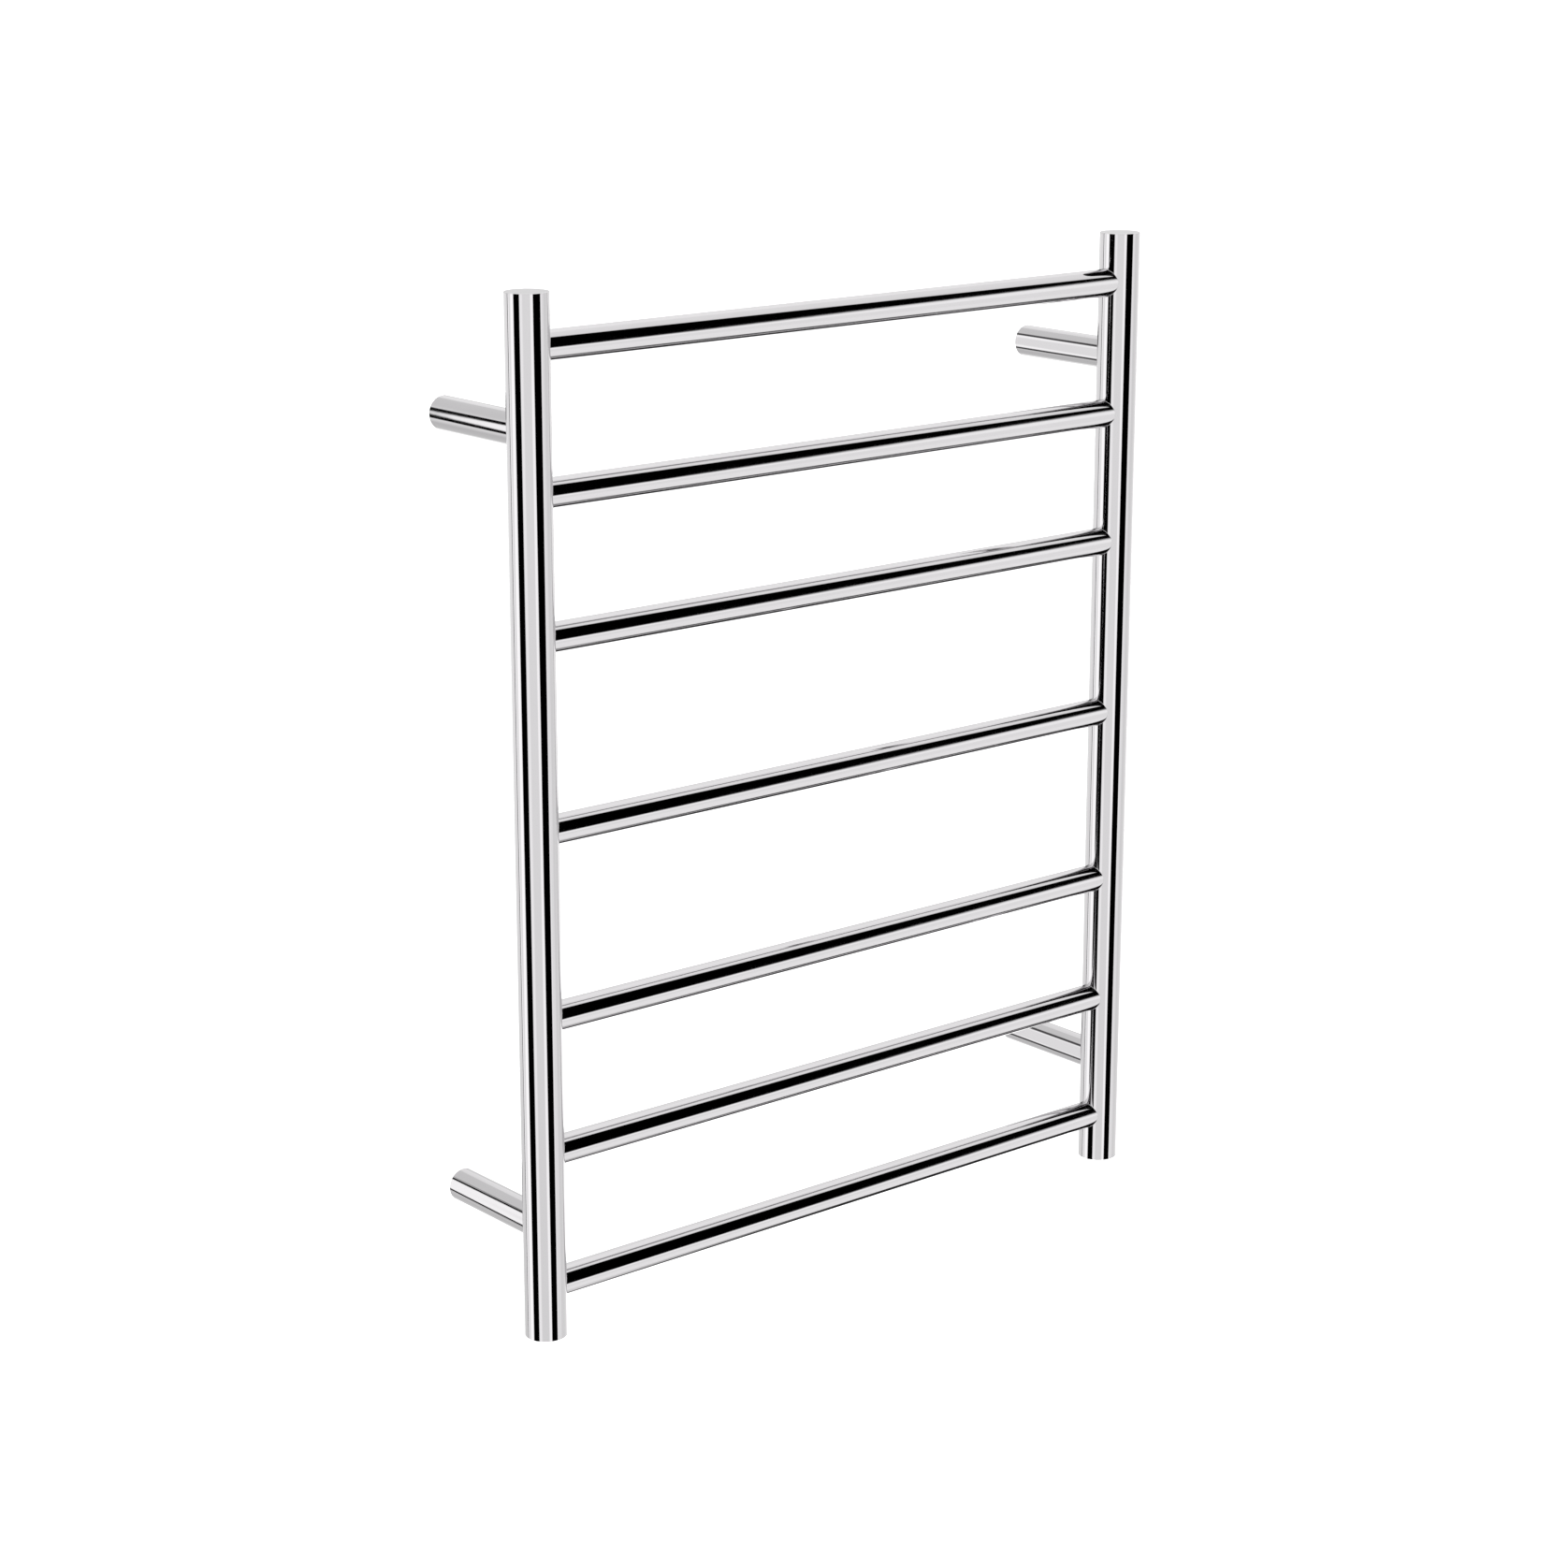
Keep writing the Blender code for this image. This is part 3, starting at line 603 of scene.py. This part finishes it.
def make_cap(end, side):
    """A plug whose face is flush with the tube's end. The earthed one has a tapped boss inside."""
    node = f"{end}_cap_{side}"
    low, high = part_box(node)
    depth, face, skirt = high.z - low.z, 0.0020, 0.0015
    radius = UPRIGHT_BORE - HAIRLINE
    outline = [(0, 0), (radius, 0), (radius, -depth), (radius - skirt, -depth), (radius - skirt, -face)]
    if node == "bottom_cap_left":
        boss, tapped, boss_end, hole_end = 0.0040, 0.0020, -0.0080, -0.0030
        outline += [(boss, -face), (boss, boss_end), (tapped, boss_end), (tapped, hole_end), (0, hole_end)]
    else:
        outline += [(0, -face)]
    top = end == "top"
    origin = (UPRIGHTS[side].x, FRAME_Y, high.z if top else low.z)
    cap = lathe(node, rounded(outline, 0.00002, 2), ROUND, origin, (0, 0, 1 if top else -1))
    return stand_for(cap, node, POLISHED[ALONG_Z])


for upright_side in UPRIGHTS:
    make_upright(upright_side)
    make_cap("top", upright_side)
    make_cap("bottom", upright_side)
for bar_number in range(1, len(BAR_HEIGHTS) + 1):
    make_crossbar(bar_number)
for corner in CORNERS:
    make_standoff(*corner)


# ---- The wall side -------------------------------------------------------------------------------

BRACKET_RADIUS, BRACKET_HALF_LENGTH, _ = half_size("wall_bracket_upper_left")
BRACKET_LENGTH = 2 * BRACKET_HALF_LENGTH
BRACKET_BORE = 0.0060
BRACKET_FLOOR = 0.0052
BRACKET_FLAT = 0.0081  # from the axis down to the flat that the set screw presses on
BRACKET_FLAT_START = 0.0090  # from the wall


def bracket_outline(entry):
    """From the wall up the outside, down the bore, and out through the hole in the floor."""
    chamfer = 0.0007
    outline = [
        (BRACKET_RADIUS, 0),
        (BRACKET_RADIUS, BRACKET_LENGTH - chamfer),
        (BRACKET_RADIUS - chamfer, BRACKET_LENGTH),
        (BRACKET_BORE, BRACKET_LENGTH),
        (BRACKET_BORE, BRACKET_FLOOR),
    ]
    if entry:
        hole, recess, recess_depth = 0.0035, 0.0053, 0.0013
        return [*outline, (hole, BRACKET_FLOOR), (hole, recess_depth), (recess, recess_depth), (recess, 0)]
    hole, countersink, countersink_end = 0.00275, 0.0050, 0.0030
    return [*outline, (countersink, BRACKET_FLOOR), (hole, countersink_end), (hole, 0)]


def make_bracket(level, side):
    """A turned boss that the standoff slides over, with a flat milled underneath for the set screw."""
    entry = (level, side) == ENTRY_CORNER
    node = "cable_entry_bracket" if entry else f"wall_bracket_{level}_{side}"
    x, z = UPRIGHTS[side].x, STANDOFF_HEIGHTS[level]
    outline = split_long(rounded(bracket_outline(entry), 0.00012, 2), 0.004)
    bracket = lathe(f"{node}_boss", outline, SMALL_ROUND, (x, 0, z), TO_ROOM)
    overrun = 0.002
    low = (x - BRACKET_RADIUS, -BRACKET_LENGTH - overrun, z - BRACKET_RADIUS - overrun)
    high = (x + BRACKET_RADIUS, -BRACKET_FLAT_START, z - BRACKET_FLAT)
    cutters = [block("flat", low, high)]
    screw_offset, screw_hole = 0.0083, 0.0015
    for offset in (-screw_offset, screw_offset) if entry else ():
        start, end = (x + offset, overrun, z), (x + offset, -BRACKET_LENGTH - overrun, z)
        cutters.append(prism("screw_hole", screw_hole, SMALL_HOLE_ROUND, start, end))
    return stand_for(apply_boolean(bracket, cutters), node)


def make_grommet():
    """A soft-edged rubber bush with a flange on each face of the entry bracket's floor."""
    flange, half_length, _ = half_size("cable_grommet")
    length, thickness, neck, bore = 2 * half_length, 0.0010, 0.0032, 0.0028
    outline = [
        (bore, length),
        (flange, length),
        (flange, length - thickness),
        (neck, length - thickness),
        (neck, thickness),
        (flange, thickness),
        (flange, 0),
        (bore, 0),
    ]
    centre = middle("cable_grommet")
    bush = lathe("bush", rounded(outline, 0.0003, 4), FINE_ROUND, (centre.x, 0, centre.z), TO_ROOM)
    return stand_for(bush, "cable_grommet")


def make_grub_screw(level, side):
    """A cup-point set screw with a real thread, pointing up, and its hexagon socket underneath."""
    node = f"grub_screw_{level}_{side}"
    low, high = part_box(node)
    foot = Vector((middle(node).x, middle(node).y, low.z))
    length, crest, pitch = high.z - low.z, 0.00193, 0.0007
    cup_rim, cup_depth, cone, chamfer = 0.0009, 0.0003, 0.0008, 0.0003
    outline = [
        (0, length - cup_depth),
        (cup_rim, length),
        (crest, length - cone),
        (crest, chamfer),
        (crest - chamfer, 0),
        (0, 0),
    ]
    threads = (chamfer / 2, length - cone / 2)
    body = screw(f"{node}_body", rounded(outline, 0.00006, 2), crest, pitch, threads, foot)
    socket, socket_depth = 0.00115, 0.0022
    up = Vector((0, 0, socket_depth))
    apply_boolean(body, [prism("hexagon_socket", socket, 6, foot - up, foot + up)])
    return stand_for(body, node)


for corner in CORNERS:
    make_bracket(*corner)
    make_grub_screw(*corner)
make_grommet()


# ---- The heating circuit -------------------------------------------------------------------------

CABLE_BEND = 0.0080
BEND_STEPS = 12  # round a right angle
LEAD_RADIUS = 0.0024
INTO_SLEEVE = 0.0010  # a cable's end runs this far into its sleeve
SPLICE_BOX, END_SEAL_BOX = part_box("cable_splice"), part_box("cable_end_seal")
RISER_X, LOOP_X = middle("cable_splice").x, middle("cable_end_seal").x


def heating_route():
    """Up the left upright to the top bar, then through every bar in turn, resting on each bar's floor."""
    left, right = UPRIGHTS["left"].x, UPRIGHTS["right"].x
    loop_offset = right - LOOP_X
    at_hole_drop, in_bar_drop = 0.0045, 0.0079
    sag_start, sag_end = 0.022, 0.050
    points = [(RISER_X, FRAME_Y, SPLICE_BOX[1].z - INTO_SLEEVE)]
    turn_from, heading = RISER_X, 1
    for height in BAR_HEIGHTS:
        at_hole, in_bar = height - at_hole_drop, height - in_bar_drop
        near, far = (left, right) if heading > 0 else (right, left)
        turn_to = far - heading * loop_offset
        points += [
            (turn_from, FRAME_Y, at_hole),
            (near + heading * sag_start, FRAME_Y, at_hole),
            (near + heading * sag_end, FRAME_Y, in_bar),
            (far - heading * sag_end, FRAME_Y, in_bar),
            (far - heading * sag_start, FRAME_Y, at_hole),
            (turn_to, FRAME_Y, at_hole),
        ]
        turn_from, heading = turn_to, -heading
    points.append((turn_from, FRAME_Y, END_SEAL_BOX[0].z + INTO_SLEEVE))
    return filleted(points, CABLE_BEND, BEND_STEPS)


def cold_lead_route():
    """Straight in through the lower left standoff, then up the left upright to the splice."""
    centre = Vector((UPRIGHTS["left"].x, 0, STANDOFF_HEIGHTS["lower"]))
    wall_gap, straight_end, riser_y = 0.0003, -0.060, FRAME_Y + 0.0016
    points = [
        (centre.x, -wall_gap, centre.z),
        (centre.x, straight_end, centre.z),
        (RISER_X, riser_y, centre.z),
        (RISER_X, riser_y, SPLICE_BOX[0].z + INTO_SLEEVE),
    ]
    return filleted(points, CABLE_BEND, BEND_STEPS)


def make_sleeve(node):
    """A heat-shrunk sleeve: drawn in round the cable at both ends, and faintly rippled between them."""
    low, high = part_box(node)
    radius, length, stations = half_size(node).x, high.z - low.z, 60
    drawn_in, drawn_length, ripple, ripples = 0.16 * radius, 0.0035, 0.015 * radius, 5
    outline = []
    for i in range(stations + 1):
        height = length * i / stations
        near_end = max(0.0, 1 - min(height, length - height) / drawn_length)
        wave = ripple * (1 - math.cos(2 * math.pi * ripples * i / stations)) / 2
        outline.append((radius - drawn_in * near_end**2 - wave, height))
    outline = rounded([(0, 0), *outline, (0, length)], 0.0004, 3)
    foot = (middle(node).x, middle(node).y, low.z)
    return stand_for(lathe(f"{node}_tube", outline, HOLE_ROUND, foot), node)


def make_earth_lug():
    """A ring terminal: a flat ring and tongue, and an open crimp barrel pinched round the wire."""
    foot = middle("earth_wire")
    low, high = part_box("earth_lug")
    origin = Vector((UPRIGHTS["left"].x, FRAME_Y, low.z))
    ring, hole, thickness, tongue_width = 0.0038, 0.0021, 0.0008, 0.0024
    flat = rounded([(hole, 0), (ring, 0), (ring, thickness), (hole, thickness)], 0.00015, 3)
    lug = lathe("lug_ring", flat, FINE_ROUND, origin)
    reach = Vector((foot.x - origin.x, foot.y - origin.y))
    overlap, inset = 0.0010, 0.00005
    tongue_low = (ring - overlap, -tongue_width / 2, inset)
    tongue_high = (reach.length, tongue_width / 2, thickness - inset)
    tongue = block("tongue", tongue_low, tongue_high)
    turn = math.atan2(reach.y, reach.x)
    tongue.data.transform(Matrix.Translation(origin) @ Matrix.Rotation(turn, 4, "Z"))
    barrel, bore, floor, height = 0.0015, 0.0011, 0.0010, high.z - low.z
    crimp, crimp_low, crimp_high = 0.0002, 0.0018, 0.0032
    outline = rounded([
        (0, 0),
        (barrel, 0),
        (barrel, crimp_low - crimp),
        (barrel - crimp, crimp_low),
        (barrel - crimp, crimp_high),
        (barrel, crimp_high + crimp),
        (barrel, height),
        (bore, height),
        (bore, floor),
        (0, floor),
    ], 0.00015, 3)
    cup = lathe("barrel", outline, HOLE_ROUND, (foot.x, foot.y, low.z))
    apply_boolean(lug, [tongue, cup], "UNION")
    return stand_for(lug, "earth_lug")


def make_earth_wire():
    """From inside the lug's barrel up into the splice."""
    centre, radius = middle("earth_wire"), half_size("earth_wire").x
    low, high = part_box("earth_lug")[1].z - INTO_SLEEVE, SPLICE_BOX[0].z
    stretches = 6
    heights = [low + (high - low) * k / stretches for k in range(stretches + 1)]
    route = [Vector((centre.x, centre.y, height)) for height in heights]
    return stand_for(tube_along("wire", route, radius, CABLE_ROUND), "earth_wire")


def make_earth_screw():
    """A pan-head screw with a cross recess, down through the lug into the cap's boss."""
    low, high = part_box("earth_screw")
    head, head_height, dome, recess_depth = half_size("earth_screw").x, 0.0022, 0.0012, 0.0013
    under_head = high.z - head_height
    origin = Vector((middle("earth_screw").x, middle("earth_screw").y, under_head))
    shank, shank_end, chamfer = 0.0017, low.z - under_head, 0.0004
    outline = [
        (0, head_height),
        *arc((head - dome, head_height - dome), dome, 90, 0, 8),
        (head, 0),
        (shank, 0),
        (shank, shank_end + chamfer),
        (shank - chamfer, shank_end),
        (0, shank_end),
    ]
    body = screw("earth_screw_body", rounded(outline, 0.0001, 2), shank, 0.0007, (shank_end, 0), origin)
    arm, half_slot = 0.0018, 0.0004
    top = origin + Vector((0, 0, head_height))
    slots = [
        block(f"slot_{i}", top - Vector((*size, recess_depth)), top + Vector((*size, recess_depth)))
        for i, size in enumerate([(arm, half_slot), (half_slot, arm)])
    ]
    return stand_for(apply_boolean(body, slots), "earth_screw")


stand_for(tube_along("heating", heating_route(), half_size("heating_cable").y, CABLE_ROUND), "heating_cable")
stand_for(tube_along("lead", cold_lead_route(), LEAD_RADIUS, CABLE_ROUND), "cold_lead")
make_sleeve("cable_splice")
make_sleeve("cable_end_seal")
make_earth_lug()
make_earth_wire()
make_earth_screw()


# ---- The studio ----------------------------------------------------------------------------------

CAMERA_PLACE = Vector((-1.7064, -2.0840, 0.7023))
CAMERA_TURN = math.radians(39.80)  # to the right of straight at the wall
CAMERA_DIP = math.radians(15.22)
CAMERA_LENS = 80.44
FLOOR_HEIGHT = -1.4
FLOOR_SIZE = 120.0
FLOOR_GLOW = 0.55
SOFTBOX_PLACE = Vector((-1.0, -2.4, 2.2))
SOFTBOX_SIZE = (2.4, 1.6)
SOFTBOX_POWER = 40.0

# Directions in the studio, in degrees. Bearings run clockwise seen from above: 0 is into the wall that
# the rack hangs on, 90 is to the right and 180 is the room. They are counted from 20 to 380, and a panel
# that reaches that seam ends there.
BEARING_SEAM = 20
BASE_GLOW = 0.84
STUDIO_BRIGHTNESS = 1.43
# The leaning left edge of the black flag in the room: (elevation, bearing)
FLAG_EDGE = [
    (-24, 151.6),
    (-7, 142.6),
    (8, 138.2),
    (20, 131.5),
    (33, 119.5),
]
# (bearing from, to, elevation from, to, softness, radiance), each painted over the ones before it. A row
# that ends in "leaning" counts its bearings from the flag's leaning edge.
PANELS = [
    (20, 380, -95, -60, 12, 0.62),
    (20, 380, 62, 95, 10, 1.05),
    (335, 385, -90, -22, 10, 0.56),
    (330, 385, 18, 62, 10, 0.66),
    (86, 128, -36, 40, 8, 0.76),
    (38, 66, 34, 56, 4, 0.93),
    (38, 66, -70, -5, 5, 1.25),
    (106, 140, -52, -28, 5, 0.93),
    (124, 150, -28, 22, 4, 0.88),
    (50, 102, -55, -39, 3, 0.02),
    (26, 54, 1, 14, 3, 0.61),
    (-6, 2, -52, 24, 1.5, 1.02, "leaning"),
    (0, 90, -50, 56, 2.0, 0.0, "leaning"),
    (184.8, 254, -70, 70, 2.0, 0.84),
    (194, 254, -75, -20, 8, 0.77),
    (184.8, 198, -60, 60, 2.0, 1.10),
    (238, 256, -50, 55, 4, 1.00),
    (286, 314, -50, 60, 8, 1.20),
    (306, 326, -50, 60, 5, 0.88),
    (319, 326, -60, 60, 1.5, 1.10),
    (325.2, 329.9, -65, 65, 0.7, 0.0),
    (322.0, 333.0, 29, 65, 2.0, 0.08),
    (322.0, 333.0, -65, -30, 2.0, 0.08),
    (253, 285.7, -64, 62, 2.0, 0.0),
    (184, 318, 38, 60, 3, 0.0),
    (184, 318, -62, -40, 3, 0.0),
    (342, 378, 4, 24, 2, 0.02),
    (24, 29, -17, 0, 1.5, 0.02),
    (50, 60, -18, 0, 2, 0.02),
]


def make_camera():
    """Above the rack's left, looking down to the right."""
    data = bpy.data.cameras.new("camera")
    data.lens = CAMERA_LENS
    camera = bpy.data.objects.new("camera", data)
    bpy.context.scene.collection.objects.link(camera)
    camera.location = CAMERA_PLACE
    camera.rotation_euler = (math.pi / 2 - CAMERA_DIP, 0, -CAMERA_TURN)
    bpy.context.scene.camera = camera


def window(tree, value, low, high, softness):
    """1 where the value lies between low and high, fading over the softness at each end."""
    parts = []
    for edge, before, after in ((low, 0.0, 1.0), (high, 1.0, 0.0)):
        fade = ranged(tree, value, before, after, (edge - softness, edge + softness))
        fade.node.interpolation_type = "SMOOTHSTEP"
        parts.append(fade)
    return arithmetic(tree, "MULTIPLY", *parts)


def leaning_edge(tree, elevation):
    """The bearing of the flag's leaning edge at an elevation."""
    edge = FLAG_EDGE[0][1]
    for (low, start), (high, end) in zip(FLAG_EDGE, FLAG_EDGE[1:]):
        edge = arithmetic(tree, "ADD", edge, ranged(tree, elevation, 0.0, end - start, (low, high)))
    return edge


def make_world():
    """A pale studio with white panels and black flags, which only reflections and soft light see."""
    world = bpy.data.worlds.new("studio")
    bpy.context.scene.world = world
    world.use_nodes = True
    tree = world.node_tree
    tree.nodes.clear()
    direction = add(tree, "ShaderNodeTexCoord").outputs["Generated"]
    parts = add(tree, "ShaderNodeSeparateXYZ", {0: direction}).outputs
    turn = arithmetic(tree, "DEGREES", arithmetic(tree, "ARCTAN2", parts["X"], parts["Y"]))
    shifted = arithmetic(tree, "FLOORED_MODULO", arithmetic(tree, "SUBTRACT", turn, BEARING_SEAM), 360)
    bearing = arithmetic(tree, "ADD", shifted, BEARING_SEAM)
    elevation = arithmetic(tree, "DEGREES", arithmetic(tree, "ARCSINE", parts["Z"]))
    from_edge = arithmetic(tree, "SUBTRACT", bearing, leaning_edge(tree, elevation))
    glow = None
    for bearing_low, bearing_high, low, high, softness, radiance, *leaning in PANELS:
        across = window(tree, from_edge if leaning else bearing, bearing_low, bearing_high, softness)
        up = window(tree, elevation, low, high, softness)
        share = arithmetic(tree, "MULTIPLY", across, up)
        before = BASE_GLOW if glow is None else glow
        change = arithmetic(tree, "MULTIPLY", share, arithmetic(tree, "SUBTRACT", radiance, before))
        glow = arithmetic(tree, "ADD", before, change)
    seen = add(tree, "ShaderNodeLightPath").outputs["Is Camera Ray"]
    strength = arithmetic(tree, "MAXIMUM", arithmetic(tree, "MULTIPLY", glow, STUDIO_BRIGHTNESS), seen)
    background = add(tree, "ShaderNodeBackground", {"Color": (1, 1, 1, 1), "Strength": strength})
    output = tree.nodes.new("ShaderNodeOutputWorld")
    tree.links.new(background.outputs[0], output.inputs["Surface"])


def make_floor():
    """A plain pale floor, lit to the same white as the air above it."""
    built = bmesh.new()
    bmesh.ops.create_grid(built, x_segments=1, y_segments=1, size=FLOOR_SIZE / 2)
    mesh = bpy.data.meshes.new("floor")
    built.to_mesh(mesh)
    built.free()
    floor = bpy.data.objects.new("floor", mesh)
    bpy.context.scene.collection.objects.link(floor)
    floor.location = (0, 0, FLOOR_HEIGHT)
    floor.visible_glossy = False
    material, tree, shader = new_material("pale_floor", roughness=0.7)
    tone = two_colours(tree, noise(tree, 0.8, 3.0), (0.88, 0.88, 0.88), (0.92, 0.92, 0.92))
    tree.links.new(tone, shader.inputs["Base Color"])
    shader.inputs["Emission Color"].default_value = (1, 1, 1, 1)
    shader.inputs["Emission Strength"].default_value = FLOOR_GLOW
    mesh.materials.append(material)


def make_softbox():
    """One large soft light over the room. Reflections don't see it: the tubes mirror only the studio."""
    data = bpy.data.lights.new("softbox", "AREA")
    data.shape = "RECTANGLE"
    data.size, data.size_y = SOFTBOX_SIZE
    data.energy = SOFTBOX_POWER
    softbox = bpy.data.objects.new("softbox", data)
    bpy.context.scene.collection.objects.link(softbox)
    softbox.location = SOFTBOX_PLACE
    softbox.rotation_euler = (-SOFTBOX_PLACE).to_track_quat("-Z", "Y").to_euler()
    softbox.visible_glossy = False
    softbox.visible_camera = False


make_camera()
make_world()
make_floor()
make_softbox()
bpy.context.scene.view_settings.view_transform = "Standard"
